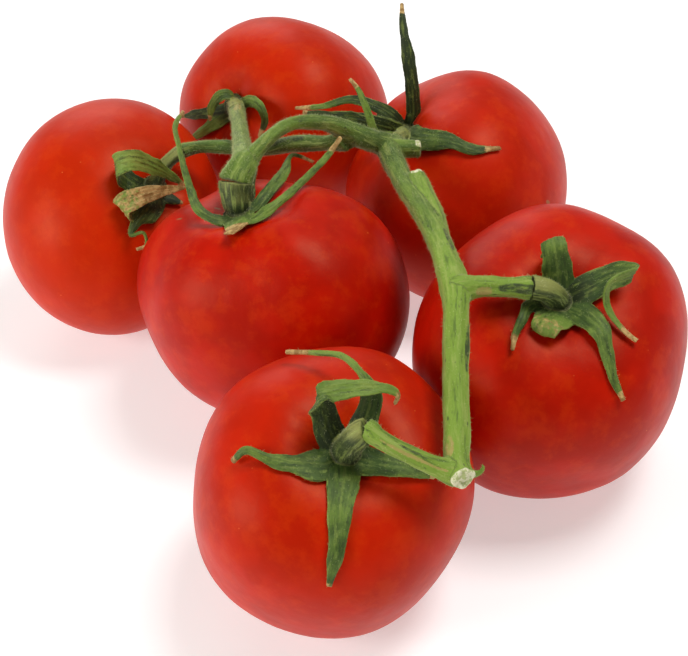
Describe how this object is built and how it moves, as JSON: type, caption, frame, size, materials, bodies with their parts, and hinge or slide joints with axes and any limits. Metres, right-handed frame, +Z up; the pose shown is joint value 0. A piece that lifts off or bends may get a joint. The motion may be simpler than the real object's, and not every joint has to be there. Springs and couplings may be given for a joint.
{
  "type": "truss of tomatoes",
  "caption": "Bunch of ripe round tomatoes still joined by their green branching stalk, each with its leafy calyx, lying on a flat surface.",
  "frame": {"origin": "on the surface that the fruit rest on, under the middle of the bunch", "axes": "+Z up; +Y runs along the bunch, away from the stalk's cut end; +X to the right of it, seen from above"},
  "size_m": [0.1749, 0.219, 0.0825],
  "materials": {
    "skin": "ripe tomato skin: smooth, deep red, softly glossy",
    "stalk": "green stalk: matt, finely hairy",
    "calyx": "green sepals: matt, thin and curling"
  },
  "bodies": {
    "root": {"truss_stem": "stalk", "tomato_front": "skin", "tomato_right": "skin", "tomato_middle": "skin", "tomato_left": "skin", "tomato_back_left": "skin", "tomato_back_right": "skin", "calyx_front": "calyx", "calyx_right": "calyx", "calyx_middle": "calyx", "calyx_left": "calyx", "calyx_back_left": "calyx", "calyx_back_right": "calyx"}
  },
  "joints": []
}
